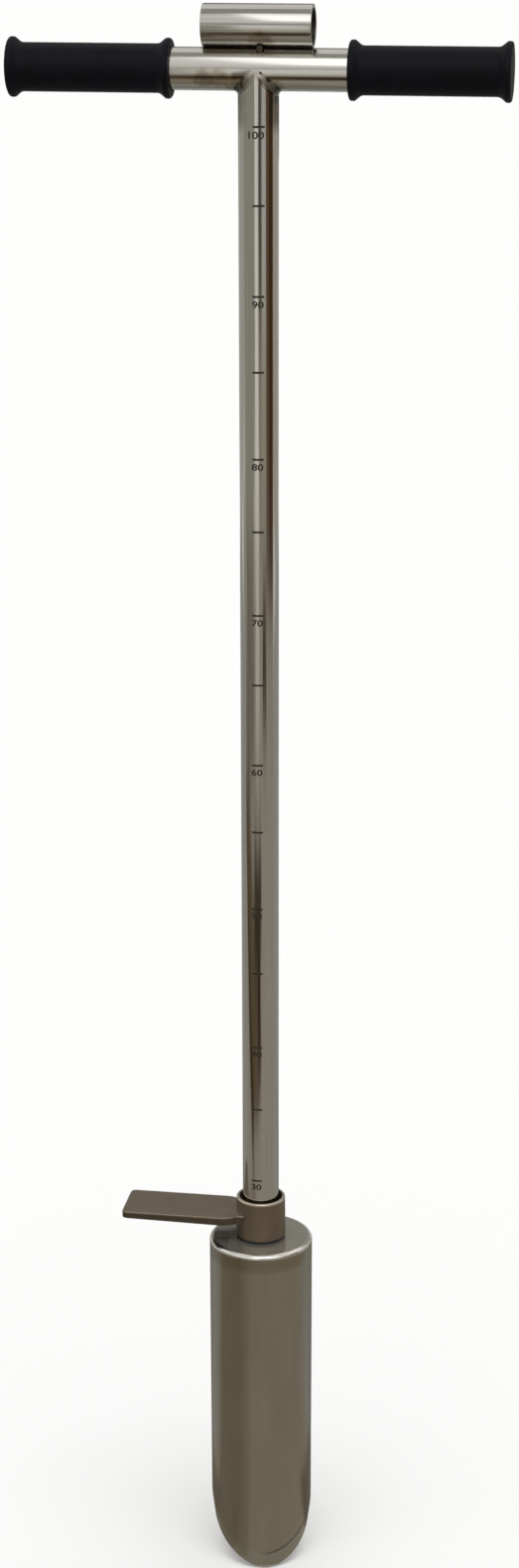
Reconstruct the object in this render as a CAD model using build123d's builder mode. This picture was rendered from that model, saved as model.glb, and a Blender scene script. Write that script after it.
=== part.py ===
from build123d import *
from math import atan2, ceil, cos, floor, radians, sin
import os

# Push soil sampler: a T handle with rubber grips, a graduated tube shaft, a loose foot
# pedal, and a half-open sampling barrel that ends in a rounded, ground cutting tip.
# Millimetres, +Z up. The origin is on the shaft axis, level with the cutting tip.
# +X runs along the handle to the right grip, and -Y is the front of the handle.

# Tube stock shared by the handle bar, the shaft and the strike tube
tube_diameter = 25.0
tube_wall = 2.0

# T handle
handle_height = 1032.0  # axis of the bar above the tip
bar_length = 300.0
strike_tube_length = 67.0
strike_tube_chamfer = 0.4

# Rubber grips, pushed on the ends of the bar
grip_left_length = 100.0
grip_right_length = 97.5
grip_wall = 1.75
grip_end_wall = 3.0
grip_fit = 0.05  # radial room between rubber and bar
flange_height = 3.25  # flange above the grip's body
flange_lip = 3.2  # length of the flange's rim
flange_flare = 4.0  # length of the slope from rim to body
flange_rim_radius = 1.5
flange_edge_radius = 1.4
flange_root_radius = 4.5

# Welds
weld_root_gap = 0.2
handle_bead_radius = 2.4
tack_radius = 3.6
tack_reach = 7.0  # tack centre from the plane of the two tube axes
shaft_weld_leg = 4.0
pinhole_diameter = 1.8
pinhole_depth = 3.0

# Sampling head
head_height = 253.0  # top of the cap above the tip
head_diameter = 72.0
head_wall = 2.0
cap_thickness = 2.5
cap_skirt = 9.0  # top of the cap to its seam
cap_rim_radius = 3.0
cap_inner_radius = 1.0
seam_height = 1.6
seam_proud = 0.1
shaft_hole_fit = 0.1  # radial room between shaft and cap
shaft_stub = 8.0  # shaft below the cap's underside
plug_thickness = 4.0
plug_fit = 0.1

# Cutting tip and rear opening of the barrel
mouth_rise = 30.0  # climb of each ground plane of the mouth over the edge's radius
mouth_splay = 9.0  # degrees from the tip round to the low side of each of the two planes
edge_land = 0.4  # thickness left at the cutting edge
bevel_height = 13.5  # height of the ground bevel at the barrel's sides
bevel_runout = 1.0  # how far the bevel's cone runs past the barrel wall
opening_drop = 50.0  # top of the rear opening below the cap's top
opening_corner = 30.0

# Degrees that the welded head and the scale are turned round from square to the handle
front_turn = 15.0  # mouth of the barrel
opening_turn = 7.5  # rear opening of the barrel
scale_turn = 6.0  # depth scale

# Foot pedal and its bush
resting_gap = 0.2  # axial room under the bush and under the collar
slide_fit = 0.3  # radial room between bush and shaft
bush_wall = 2.0
swivel_fit = 0.25  # radial room between collar and bush
bush_depth = 20.0  # bush sleeve inside the collar
bush_flange_thickness = 1.2
bush_flange_reach = 1.5  # flange beyond the collar's bore
collar_height = 29.0
collar_rim_wall = 1.9
collar_foot_wall = 2.3
collar_edge_radius = 0.9
paddle_reach = 96.0  # paddle's end from the shaft axis
paddle_width = 37.5
paddle_drop = 11.0  # paddle's top below the collar's rim
paddle_root_thickness = 6.0
paddle_end_thickness = 4.8
paddle_corner = 4.0
paddle_edge_radius = 1.1
shoulder_reach = 3.0  # shoulder of the paddle beyond the collar's foot
shoulder_radius = 6.0
neck_inset = 1.0  # neck of the paddle inside the collar's bore

# Etched depth scale on the shaft
scale_pitch = 100.0
half_mark_drop = 46.0  # plain mark below each numbered mark
mark_length = 7.0
mark_width = 0.8
mark_depth = 0.15
scale_margin_low = 12.0  # clear shaft between the collar and the lowest mark
scale_margin_high = 26.0  # clear shaft between the bar's axis and the highest mark

# Radii and levels that several pieces share
tube_radius = tube_diameter / 2
tube_bore_radius = tube_radius - tube_wall
head_radius = head_diameter / 2
head_bore_radius = head_radius - head_wall
cap_underside = head_height - cap_thickness
seam_top = head_height - cap_skirt
barrel_top = seam_top - seam_height
shaft_foot = cap_underside - shaft_stub
strike_tube_height = handle_height + tube_diameter + weld_root_gap
bush_bore_radius = tube_radius + slide_fit
bush_radius = bush_bore_radius + bush_wall
collar_bore_radius = bush_radius + swivel_fit
collar_rim_radius = collar_bore_radius + collar_rim_wall
collar_foot_radius = collar_bore_radius + collar_foot_wall
bush_foot = head_height + resting_gap
collar_foot = bush_foot + bush_flange_thickness + resting_gap
collar_top = collar_foot + collar_height
paddle_top = collar_top - paddle_drop

# The two planes of the cutting edge, which rise from the tip to the rear
edge_radius = head_bore_radius + edge_land
mouth_angle = atan2(mouth_rise, edge_radius)
mouth_normal = (0, -sin(mouth_angle), cos(mouth_angle))
mouth_level = mouth_rise * cos(radians(mouth_splay))  # where both planes cross the barrel's axis
bevel_radius = head_radius + bevel_runout
bevel_rise = bevel_height * (bevel_radius - edge_radius) / (head_radius - edge_radius)
waste_size = 4 * head_diameter  # wide enough to take in the whole mouth

os.makedirs("parts", exist_ok=True)


def save(piece, name):
    """Label a finished piece and write it as parts/NAME.step."""
    piece.part.label = name
    export_step(piece.part, f"parts/{name}.step")


def mouth_plane(rise):
    """Plane parallel to one side of the cutting edge, raised above it by rise."""
    return Plane(origin=(0, 0, mouth_level + rise), x_dir=(1, 0, 0), z_dir=mouth_normal)


# Handle bar
with BuildPart() as handle_bar:
    with BuildSketch(Plane.YZ.offset(-bar_length / 2)):
        with Locations((0, handle_height)):
            Circle(tube_radius)
            Circle(tube_bore_radius, mode=Mode.SUBTRACT)
    extrude(amount=bar_length)
save(handle_bar, "handle_bar")

# Strike tube, on top of the bar
with BuildPart() as strike_tube:
    with BuildSketch(Plane.YZ.offset(-strike_tube_length / 2)):
        with Locations((0, strike_tube_height)):
            Circle(tube_radius)
            Circle(tube_bore_radius, mode=Mode.SUBTRACT)
    extrude(amount=strike_tube_length)
    chamfer(strike_tube.edges().filter_by(GeomType.CIRCLE), length=strike_tube_chamfer)
save(strike_tube, "strike_tube")

# Weld tacks in the crevices between the strike tube and the bar
with BuildPart() as strike_tube_tacks:
    crevice_height = (handle_height + strike_tube_height) / 2
    with Locations((0, -tack_reach, crevice_height), (0, tack_reach, crevice_height)):
        Sphere(tack_radius)
    with Locations((0, 0, handle_height), (0, 0, strike_tube_height)):
        Cylinder(tube_radius, strike_tube_length, rotation=(0, 90, 0), mode=Mode.SUBTRACT)
save(strike_tube_tacks, "strike_tube_tacks")

# Grips: a sleeve closed at the outer end, with a rounded flange at each end
for name, side, grip_length in (("grip_left", -1, grip_left_length), ("grip_right", 1, grip_right_length)):
    outer_end = bar_length / 2 + grip_end_wall
    inner_end = outer_end - grip_length
    bore_radius = tube_radius + grip_fit
    body_radius = tube_radius + grip_wall
    rim_radius = body_radius + flange_height
    slope = flange_lip + flange_flare
    with BuildPart() as grip:
        with BuildSketch(Plane.XZ) as profile:
            with BuildLine():
                Polyline(
                    *[
                        (side * x, handle_height + radius)
                        for x, radius in (
                            (inner_end, bore_radius),
                            (inner_end, rim_radius),
                            (inner_end + flange_lip, rim_radius),
                            (inner_end + slope, body_radius),
                            (outer_end - slope, body_radius),
                            (outer_end - flange_lip, rim_radius),
                            (outer_end, rim_radius),
                            (outer_end, 0),
                            (outer_end - grip_end_wall, 0),
                            (outer_end - grip_end_wall, bore_radius),
                        )
                    ],
                    close=True,
                )
            make_face()
            corners = profile.vertices().group_by(Axis.Y)
            rims = corners[-1].sort_by(Axis.X)
            roots = corners[-2]
            fillet([rims[0], rims[-1]], radius=flange_rim_radius)
            fillet(rims[1:-1], radius=flange_edge_radius)
            fillet(roots, radius=flange_root_radius)
        revolve(axis=Axis((0, 0, handle_height), (1, 0, 0)))
    save(grip, name)

# Shaft, coped to the bar, with shallow etched marks down the tool's front
lowest_mark = ceil((collar_top + scale_margin_low) / scale_pitch) * scale_pitch
highest_mark = floor((handle_height - scale_margin_high) / scale_pitch) * scale_pitch
mark_count = round((highest_mark - lowest_mark) / scale_pitch) + 1
numbered_marks = [lowest_mark + scale_pitch * step for step in range(mark_count)]
plain_marks = [mark - half_mark_drop for mark in numbered_marks[1:]]
with BuildPart() as shaft_tube:
    with BuildSketch(Plane.XY.offset(shaft_foot)):
        Circle(tube_radius)
        Circle(tube_bore_radius, mode=Mode.SUBTRACT)
    extrude(amount=handle_height - shaft_foot)
    with Locations((0, 0, handle_height)):
        Cylinder(tube_radius + weld_root_gap, bar_length, rotation=(0, 90, 0), mode=Mode.SUBTRACT)
    with BuildSketch(*[Plane.XY.offset(mark - mark_width / 2) for mark in numbered_marks + plain_marks]):
        Circle(tube_radius + tube_wall)
        Circle(tube_radius - mark_depth, mode=Mode.SUBTRACT)
        Rectangle(
            mark_length,
            tube_diameter,
            rotation=scale_turn,
            align=(Align.CENTER, Align.MAX),
            mode=Mode.INTERSECT,
        )
    extrude(amount=mark_width, mode=Mode.SUBTRACT)
save(shaft_tube, "shaft_tube")

# Saddle bead between shaft and bar, drawn about the bar's axis, with a pinhole at its front apex
toe_plane = Plane(origin=(0, 0, 0), x_dir=(-1, 0, -1), z_dir=(1, 0, -1))
saddle_span = 2 * (tube_diameter + handle_bead_radius)  # more than the bead spans
with BuildPart() as saddle_bead:
    with BuildLine(toe_plane) as toe:
        EllipticalCenterArc((0, 0), tube_radius * 2**0.5, tube_radius, -90, arc_size=180)
    with BuildSketch(Plane(origin=toe.line @ 0, z_dir=toe.line % 0)):
        Circle(handle_bead_radius)
    sweep(path=toe.line)
    mirror(about=Plane.YZ)
    with Locations((0, -tube_radius, 0), (0, tube_radius, 0)):
        Sphere(handle_bead_radius)
    Cylinder(tube_radius, saddle_span, rotation=(0, 90, 0), mode=Mode.SUBTRACT)
    Cylinder(
        tube_radius,
        saddle_span,
        align=(Align.CENTER, Align.CENTER, Align.MAX),
        mode=Mode.SUBTRACT,
    )
    with Locations((0, -tube_radius - handle_bead_radius, 0)):
        Cylinder(pinhole_diameter / 2, pinhole_depth, rotation=(90, 0, 0), mode=Mode.SUBTRACT)
with BuildPart() as handle_weld:
    with Locations((0, 0, handle_height)):
        add(saddle_bead.part)
save(handle_weld, "handle_weld")

# Pressed cap of the sampling head
with BuildPart() as head_cap:
    with BuildSketch(Plane.XZ) as profile:
        with BuildLine():
            Polyline(
                (tube_radius + shaft_hole_fit, cap_underside),
                (tube_radius + shaft_hole_fit, head_height),
                (head_radius, head_height),
                (head_radius, seam_top),
                (head_bore_radius, seam_top),
                (head_bore_radius, cap_underside),
                close=True,
            )
        make_face()
        rim = profile.vertices().group_by(Axis.Y)[-1].sort_by(Axis.X)[-1]
        inner_corner = profile.vertices().group_by(Axis.X)[1].sort_by(Axis.Y)[-1]
        fillet(rim, radius=cap_rim_radius)
        fillet(inner_corner, radius=cap_inner_radius)
    revolve(axis=Axis.Z)
save(head_cap, "head_cap")

# Seam weld between cap and barrel, ground almost flush
with BuildPart() as cap_seam:
    with BuildSketch(Plane.XY.offset(barrel_top)):
        Circle(head_radius + seam_proud)
        Circle(head_bore_radius, mode=Mode.SUBTRACT)
    extrude(amount=seam_height)
save(cap_seam, "cap_seam")

# Bead under the cap that holds the shaft
with BuildPart() as shaft_weld:
    with BuildSketch(Plane.XZ):
        with BuildLine():
            Polyline(
                (tube_radius, cap_underside),
                (tube_radius + shaft_weld_leg, cap_underside),
                (tube_radius, cap_underside - shaft_weld_leg),
                close=True,
            )
        make_face()
    revolve(axis=Axis.Z)
save(shaft_weld, "shaft_weld")

# Plug that closes the lower end of the shaft
with BuildPart() as shaft_plug:
    with BuildSketch(Plane.XY.offset(shaft_foot)):
        Circle(tube_bore_radius - plug_fit)
    extrude(amount=plug_thickness)
save(shaft_plug, "shaft_plug")

# What the grinder takes off one side of the mouth: all below the bevel but the bevel's own cone
with BuildPart() as mouth_waste:
    with BuildSketch(mouth_plane(bevel_rise)):
        Rectangle(waste_size, waste_size)
    extrude(amount=-waste_size)
    with BuildSketch(mouth_plane(0)):
        Ellipse(edge_radius, edge_radius / cos(mouth_angle))
    with BuildSketch(mouth_plane(bevel_rise)):
        Ellipse(bevel_radius, bevel_radius / cos(mouth_angle))
    loft(mode=Mode.SUBTRACT)

# Barrel: a tube with its rear half cut away below the cap, and the ground mouth
rear_angle = radians(opening_turn)
rear_plane = Plane(
    origin=(0, 0, 0),
    x_dir=(-cos(rear_angle), -sin(rear_angle), 0),
    z_dir=(-sin(rear_angle), cos(rear_angle), 0),
)
with BuildPart() as barrel:
    with BuildSketch():
        Circle(head_radius)
        Circle(head_bore_radius, mode=Mode.SUBTRACT)
    extrude(amount=barrel_top)
    with BuildSketch(rear_plane) as opening:
        Rectangle(
            2 * (head_radius + head_wall),
            head_height - opening_drop,
            align=(Align.CENTER, Align.MIN),
        )
        fillet(opening.vertices().group_by(Axis.Y)[-1], radius=opening_corner)
    extrude(amount=head_radius + head_wall, mode=Mode.SUBTRACT)
    for splay in (-mouth_splay, mouth_splay):
        add(mouth_waste.part, rotation=(0, 0, front_turn + splay), mode=Mode.SUBTRACT)
save(barrel, "barrel")

# Flanged bush that slides on the shaft and carries the pedal
with BuildPart() as pedal_bush:
    with BuildSketch(Plane.XZ):
        with BuildLine():
            Polyline(
                (bush_bore_radius, bush_foot),
                (collar_bore_radius + bush_flange_reach, bush_foot),
                (collar_bore_radius + bush_flange_reach, bush_foot + bush_flange_thickness),
                (bush_radius, bush_foot + bush_flange_thickness),
                (bush_radius, collar_foot + bush_depth),
                (bush_bore_radius, collar_foot + bush_depth),
                close=True,
            )
        make_face()
    revolve(axis=Axis.Z)
save(pedal_bush, "pedal_bush")

# Cast foot pedal: a paddle that thins towards its end, on a drafted collar
shoulder = collar_foot_radius + shoulder_reach
neck_half_width = collar_bore_radius - neck_inset
paddle_half_width = paddle_width / 2
with BuildPart() as foot_pedal:
    with BuildSketch(Plane.XY.offset(paddle_top)) as plan:
        with BuildLine():
            Polyline(
                (-neck_inset, neck_half_width),
                (-collar_bore_radius, neck_half_width),
                (-shoulder, paddle_half_width),
                (-paddle_reach, paddle_half_width),
                (-paddle_reach, -paddle_half_width),
                (-shoulder, -paddle_half_width),
                (-collar_bore_radius, -neck_half_width),
                (-neck_inset, -neck_half_width),
                close=True,
            )
        make_face()
        columns = plan.vertices().group_by(Axis.X)
        fillet(columns[0], radius=paddle_corner)
        fillet(columns[1], radius=shoulder_radius)
    extrude(amount=-paddle_root_thickness)
    with BuildSketch(Plane.XZ):
        with BuildLine():
            Polyline(
                (-shoulder, paddle_top - paddle_root_thickness),
                (-paddle_reach, paddle_top - paddle_end_thickness),
                (-paddle_reach, paddle_top - paddle_root_thickness),
                close=True,
            )
        make_face()
    extrude(amount=paddle_width, both=True, mode=Mode.SUBTRACT)
    fillet(foot_pedal.faces().sort_by(Axis.Z)[-1].edges(), radius=paddle_edge_radius)
    with BuildSketch(Plane.XZ) as profile:
        with BuildLine():
            Polyline(
                (0, collar_foot),
                (collar_foot_radius, collar_foot),
                (collar_rim_radius, collar_top),
                (0, collar_top),
                close=True,
            )
        make_face()
        fillet(profile.vertices().group_by(Axis.X)[1:], radius=collar_edge_radius)
    revolve(axis=Axis.Z)
    with Locations((0, 0, collar_foot)):
        Cylinder(
            collar_bore_radius,
            collar_height,
            align=(Align.CENTER, Align.CENTER, Align.MIN),
            mode=Mode.SUBTRACT,
        )
save(foot_pedal, "foot_pedal")
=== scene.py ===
"""Looks of a push soil sampler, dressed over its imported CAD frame.

Metres, +Z up. The origin is on the shaft's axis, level with the cutting tip. +X runs along
the handle to the right grip, and -Y is the handle's front.
"""

import logging
import math
from collections.abc import Callable, Sequence
from dataclasses import dataclass
from enum import Enum

import bmesh
import bpy
from mathutils import Matrix, Vector, noise


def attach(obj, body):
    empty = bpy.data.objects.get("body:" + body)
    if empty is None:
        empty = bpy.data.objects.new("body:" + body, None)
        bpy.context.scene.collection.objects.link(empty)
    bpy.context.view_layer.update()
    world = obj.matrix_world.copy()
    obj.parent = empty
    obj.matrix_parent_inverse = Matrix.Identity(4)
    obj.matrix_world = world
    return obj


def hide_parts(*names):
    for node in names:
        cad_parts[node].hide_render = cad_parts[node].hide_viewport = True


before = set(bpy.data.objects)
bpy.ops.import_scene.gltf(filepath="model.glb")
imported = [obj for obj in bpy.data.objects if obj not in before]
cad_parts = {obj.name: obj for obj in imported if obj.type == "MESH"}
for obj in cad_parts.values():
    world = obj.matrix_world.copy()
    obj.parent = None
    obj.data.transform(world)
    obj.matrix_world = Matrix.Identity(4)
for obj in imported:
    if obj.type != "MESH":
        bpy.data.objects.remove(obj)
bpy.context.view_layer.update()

log = logging.getLogger("soil_sampler")

MERGE = 1e-6
BAR_HEIGHT = 1.032
TUBE_RADIUS = 0.0125
TUBE_BORE = 0.0105
ALIGNED = 0.9
UP = (0.0, 0.0, 1.0)
FACING_FRONT = (math.pi / 2, 0.0, 0.0)

Point = tuple[float, float, float]
Span = tuple[float, float]
Tree = bpy.types.NodeTree
Socket = bpy.types.NodeSocket


class Body(Enum):
    """CAD bodies that pieces ride on."""

    PROBE = "probe"
    BUSH = "bush"
    PEDAL = "pedal"


class Slot(Enum):
    """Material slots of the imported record."""

    TUBE = "tube_steel"
    HEAD = "head_steel"
    WELD = "weld_steel"
    GRIP = "grip_rubber"
    BUSH = "bush_nylon"
    PEDAL = "pedal_casting"


class Domain(Enum):
    """What an edit-mode selection holds."""

    VERT = "VERT"
    EDGE = "EDGE"


class Operation(Enum):
    """What a second piece does to a first."""

    CUT = "DIFFERENCE"
    JOIN = "UNION"


class Axis(Enum):
    """Lines that tubes run along."""

    X = (1.0, 0.0, 0.0)
    Z = (0.0, 0.0, 1.0)


class Side(Enum):
    """Ends of the handle."""

    LEFT = -1
    RIGHT = 1


@dataclass(frozen=True)
class Spindle:
    """Line that a profile is turned about.

    Attributes:
        axis: direction of the line.
        height: height of a level line above the tip; an upright line stands on the origin.
    """

    axis: Axis
    height: float = 0.0

    @property
    def centre(self) -> Point:
        """A point of the line."""
        return (0.0, 0.0, self.height)

    def place(self, along: float, radius: float) -> Vector:
        """Place a profile point in the frame.

        Args:
            along: distance along the line.
            radius: distance from the line.

        Returns:
            The point, above a level line or behind an upright one.
        """
        if self.axis is Axis.X:
            return Vector((along, 0.0, self.height + radius))
        return Vector((0.0, radius, along))


def clear_bench() -> None:
    """Leave edit mode and deselect everything."""
    if bpy.context.object and bpy.context.object.mode == "EDIT":
        bpy.ops.object.mode_set(mode="OBJECT")
    bpy.ops.object.select_all(action="DESELECT")


class Workpiece:
    """A mesh on the bench, shaped by edit-mode operators."""

    def __init__(self, name: str) -> None:
        """Take the active object, put its place in its mesh and open it for editing.

        Args:
            name: the piece's name.
        """
        self.obj: bpy.types.Object = bpy.context.object
        self.obj.name = name
        bpy.ops.object.transform_apply(location=True, rotation=True, scale=True)
        self.edit()

    @classmethod
    def add(cls, name: str, primitive: Callable[..., set], **settings: object) -> "Workpiece":
        """Add a primitive with nothing else selected.

        Args:
            name: the piece's name.
            primitive: the operator that adds it.
            settings: the operator's settings.

        Returns:
            The piece, open for editing.
        """
        clear_bench()
        primitive(**settings)
        return cls(name)

    def edit(self) -> None:
        """Open the mesh for editing with all of it selected."""
        bpy.ops.object.mode_set(mode="EDIT")
        self.pick_all()

    def pick_all(self) -> None:
        """Select all of the mesh."""
        bpy.ops.mesh.select_mode(type="VERT")
        bpy.ops.mesh.select_all(action="SELECT")

    def pick(self, domain: Domain, test: Callable[[Vector], bool], along: Vector | None = None) -> None:
        """Select the vertices that pass a test of place, or the edges whose ends both pass it.

        Args:
            domain: vertices or edges.
            test: the test of a vertex's place.
            along: the way that a picked edge has to run, if that matters.
        """
        bpy.ops.mesh.select_mode(type=domain.value)
        bpy.ops.mesh.select_all(action="DESELECT")
        mesh = bmesh.from_edit_mesh(self.obj.data)
        if domain is Domain.VERT:
            for vert in mesh.verts:
                vert.select = test(vert.co)
        else:
            for edge in mesh.edges:
                start, stop = (vert.co for vert in edge.verts)
                fits = along is None or abs((stop - start).normalized().dot(along)) > ALIGNED
                edge.select = fits and test(start) and test(stop)
        mesh.select_flush_mode()
        bmesh.update_edit_mesh(self.obj.data)

    def extrude(self, move: Sequence[float] = (0.0, 0.0, 0.0)) -> None:
        """Extrude what is selected and move it."""
        bpy.ops.mesh.extrude_region_move(TRANSFORM_OT_translate={"value": tuple(move)})

    def repeat(self, move: Sequence[float]) -> None:
        """Copy what is selected and move the copy."""
        bpy.ops.mesh.duplicate_move(TRANSFORM_OT_translate={"value": tuple(move)})

    def scale(self, value: Sequence[float], centre: Sequence[float]) -> None:
        """Scale what is selected about a centre."""
        bpy.ops.transform.resize(value=tuple(value), center_override=tuple(centre))

    def slice(self, point: Sequence[float], normal: Sequence[float], keep_above: bool = False) -> None:
        """Cut all of the mesh along a plane, and drop what lies behind it if asked."""
        self.pick_all()
        bpy.ops.mesh.bisect(plane_co=tuple(point), plane_no=tuple(normal), clear_inner=keep_above)

    def close_up(self) -> None:
        """Merge doubles and turn every face outwards."""
        self.pick_all()
        bpy.ops.mesh.remove_doubles(threshold=MERGE)
        bpy.ops.mesh.normals_make_consistent(inside=False)

    def reshape(self, move: Callable[[Vector], Vector]) -> None:
        """Put every vertex where a function says.

        Args:
            move: the function from a vertex's place to its new one.
        """
        mesh = bmesh.from_edit_mesh(self.obj.data)
        for vert in mesh.verts:
            vert.co = move(vert.co.copy())
        bmesh.update_edit_mesh(self.obj.data)

    def leave(self) -> None:
        """Go back to object mode with this piece alone selected."""
        clear_bench()
        self.obj.select_set(True)
        bpy.context.view_layer.objects.active = self.obj

    def modify(self, kind: str, **settings: object) -> None:
        """Add a modifier, set it and apply it.

        Args:
            kind: the modifier's type.
            settings: its settings.
        """
        self.leave()
        bpy.ops.object.modifier_add(type=kind)
        modifier = self.obj.modifiers[-1]
        for name, value in settings.items():
            setattr(modifier, name, value)
        bpy.ops.object.modifier_apply(modifier=modifier.name)

    def meet(self, other: "Workpiece", operation: Operation) -> None:
        """Cut this piece by a second one, or join them, and clear the second away.

        Args:
            other: the second piece.
            operation: what it does to this one.
        """
        other.leave()
        self.modify("BOOLEAN", object=other.obj, operation=operation.value, solver="EXACT")
        bpy.data.objects.remove(other.obj)

    def ease(self, width: float, degrees: float) -> None:
        """Round every edge that is sharper than an angle."""
        limit = math.radians(degrees)
        self.modify("BEVEL", width=width, segments=2, limit_method="ANGLE", angle_limit=limit)

    def smooth(self, degrees: float) -> None:
        """Shade smooth, with edges over an angle left sharp."""
        self.leave()
        bpy.ops.object.shade_smooth_by_angle(angle=math.radians(degrees))


def turned(name: str, profile: Sequence[Sequence[float]], spindle: Spindle, steps: int = 128) -> Workpiece:
    """Turn a closed profile about a spindle.

    Args:
        name: the piece's name.
        profile: (along, radius) points in order.
        spindle: the line to turn about.
        steps: facets round the piece.

    Returns:
        The turned piece, open for editing.
    """
    points = [spindle.place(*point) for point in profile]
    piece = Workpiece.add(name, bpy.ops.mesh.primitive_plane_add, size=0.001, location=points[0])
    bpy.ops.mesh.merge(type="CENTER")
    for start, stop in zip(points, points[1:] + points[:1]):
        piece.extrude(stop - start)
    piece.pick_all()
    bpy.ops.mesh.spin(steps=steps, angle=math.tau, center=spindle.centre, axis=spindle.axis.value)
    piece.close_up()
    return piece


def rounded(corners: Sequence[Point], segments: int = 6) -> list[Vector]:
    """Round the corners of a closed profile.

    Args:
        corners: (along, radius, fillet) of each corner in order.
        segments: chords in each fillet.

    Returns:
        The profile's points.
    """
    points: list[Vector] = []
    for index, (along, radius, fillet) in enumerate(corners):
        here = Vector((along, radius))
        if fillet <= 0:
            points.append(here)
            continue
        back = (Vector(corners[index - 1][:2]) - here).normalized()
        ahead = (Vector(corners[(index + 1) % len(corners)][:2]) - here).normalized()
        half = back.angle(ahead) / 2
        centre = here + (back + ahead).normalized() * fillet / math.sin(half)
        start = (here + back * fillet / math.tan(half) - centre).normalized()
        stop = (here + ahead * fillet / math.tan(half) - centre).normalized()
        for step in range(segments + 1):
            points.append(centre + start.slerp(stop, step / segments) * fillet)
    return points


def tube_profile(ends: Span, radii: Span, fillet: float) -> list[Vector]:
    """Profile of a tube's wall with eased ends.

    Args:
        ends: lower and upper end along the tube.
        radii: inner and outer radius.
        fillet: radius of the four edges.

    Returns:
        The profile's points.
    """
    (low, high), (bore, radius) = ends, radii
    corners = ((low, bore), (low, radius), (high, radius), (high, bore))
    return rounded([(*corner, fillet) for corner in corners], 4)


def linear(code: str) -> tuple[float, float, float, float]:
    """Turn an sRGB hex colour to linear RGBA.

    Args:
        code: the colour, a hash and six digits.

    Returns:
        The colour with an alpha of one.
    """
    values = [int(code[place : place + 2], 16) / 255 for place in (1, 3, 5)]
    red, green, blue = ((v / 12.92 if v <= 0.04045 else ((v + 0.055) / 1.055) ** 2.4) for v in values)
    return (red, green, blue, 1.0)


def add_node(
    tree: Tree,
    kind: str,
    inputs: dict[str | int, object] | None = None,
    out: str | int = 0,
    stops: Sequence[tuple[float, str]] = (),
    **settings: object,
) -> Socket | None:
    """Add one shader node with its settings and links.

    Args:
        tree: the node tree.
        kind: the node's type, without the words that every shader node's begins with.
        inputs: a value, or a socket to link, for each named or numbered input.
        out: the output that is wanted.
        stops: places and hex colours of a colour ramp.
        settings: the node's own properties.

    Returns:
        That output, if the node has any.
    """
    node = tree.nodes.new(f"ShaderNode{kind}")
    for name, value in settings.items():
        setattr(node, name, value)
    for name, value in (inputs or {}).items():
        if isinstance(value, Socket):
            tree.links.new(value, node.inputs[name])
        else:
            node.inputs[name].default_value = value
    for index, (place, code) in enumerate(stops):
        elements = node.color_ramp.elements
        stop = elements[index] if index < 2 else elements.new(place)
        stop.position = place
        stop.color = linear(code)
    return node.outputs[out] if node.outputs else None


def empty_material(name: str) -> bpy.types.Material:
    """Make a material that has no nodes yet.

    Args:
        name: the material's name.

    Returns:
        The material.
    """
    made = bpy.data.materials.new(name)
    made.use_nodes = True
    made.node_tree.nodes.clear()
    return made


@dataclass(frozen=True)
class Pattern:
    """Uneven lumps of a real size.

    Attributes:
        size: length of the lumps along each axis.
        detail: steps of finer lumps in them.
        harsh: weight of the finer lumps.
    """

    size: Point
    detail: float = 2.0
    harsh: float = 0.5

    @classmethod
    def lumps(cls, size: float, detail: float = 2.0, harsh: float = 0.5) -> "Pattern":
        """Lumps of one size each way."""
        return cls((size, size, size), detail, harsh)

    @classmethod
    def streaks(cls, along: Axis, width: float, length: float, harsh: float = 0.6) -> "Pattern":
        """Streaks that run along an axis."""
        return cls(tuple(length if way else width for way in along.value), 3.0, harsh)

    def lay(self, tree: Tree, place: Socket) -> Socket:
        """Lay the lumps on a material.

        Args:
            tree: the material's nodes.
            place: its object coordinates.

        Returns:
            A value from nought to one.
        """
        scale = tuple(1 / length for length in self.size)
        spot = add_node(tree, "Mapping", {"Vector": place, "Scale": scale})
        grain = {"Vector": spot, "Scale": 1.0, "Detail": self.detail, "Roughness": self.harsh}
        return add_node(tree, "TexNoise", grain, "Fac")


@dataclass(frozen=True)
class Rings:
    """Turning rings stacked along Z.

    Attributes:
        spacing: height of one ring.
    """

    spacing: float

    def lay(self, tree: Tree, place: Socket) -> Socket:
        """Lay the rings on a material.

        Args:
            tree: the material's nodes.
            place: its object coordinates.

        Returns:
            A value from nought to one.
        """
        scale = math.tau / (20 * self.spacing)  # the wave node itself multiplies by twenty
        waves = {"Vector": place, "Scale": scale, "Distortion": 0.4}
        return add_node(tree, "TexWave", waves, "Fac", bands_direction="Z")


HEAT_PATCHES = Pattern.lumps(1 / 180)


class Mark:
    """A place on a finish with a colour of its own or with painted shade; each kind of mark has its
    outline.
    """

    shade: str
    metallic: float | None = None

    def mask(self, tree: Tree, place: Socket) -> Socket:
        """How far the mark covers each place, from nought to one."""
        raise NotImplementedError

    def blend(self, tree: Tree, colour: Socket, mask: Socket) -> Socket:
        """Blend the mark's colour over a finish by its mask."""
        layers = {0: mask, 6: colour, 7: linear(self.shade)}
        return add_node(tree, "Mix", layers, 2, data_type="RGBA")


@dataclass(frozen=True)
class Stain(Mark):
    """A round patch of colour, used both for stains and for painted shade.

    Attributes:
        centre: its middle.
        reach: distance at which it ends.
        shade: its colour.
        core: share of the reach within which it is whole.
    """

    centre: Point
    reach: float
    shade: str
    core: float = 0.2

    def mask(self, tree: Tree, place: Socket) -> Socket:
        """Fade from the core to the reach.

        Args:
            tree: the material's nodes.
            place: its object coordinates.

        Returns:
            The mask.
        """
        distance = add_node(tree, "VectorMath", {0: place, 1: self.centre}, "Value", operation="DISTANCE")
        fade = {"Value": distance, "From Min": self.reach, "From Max": self.core * self.reach}
        return add_node(tree, "MapRange", fade)


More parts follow.
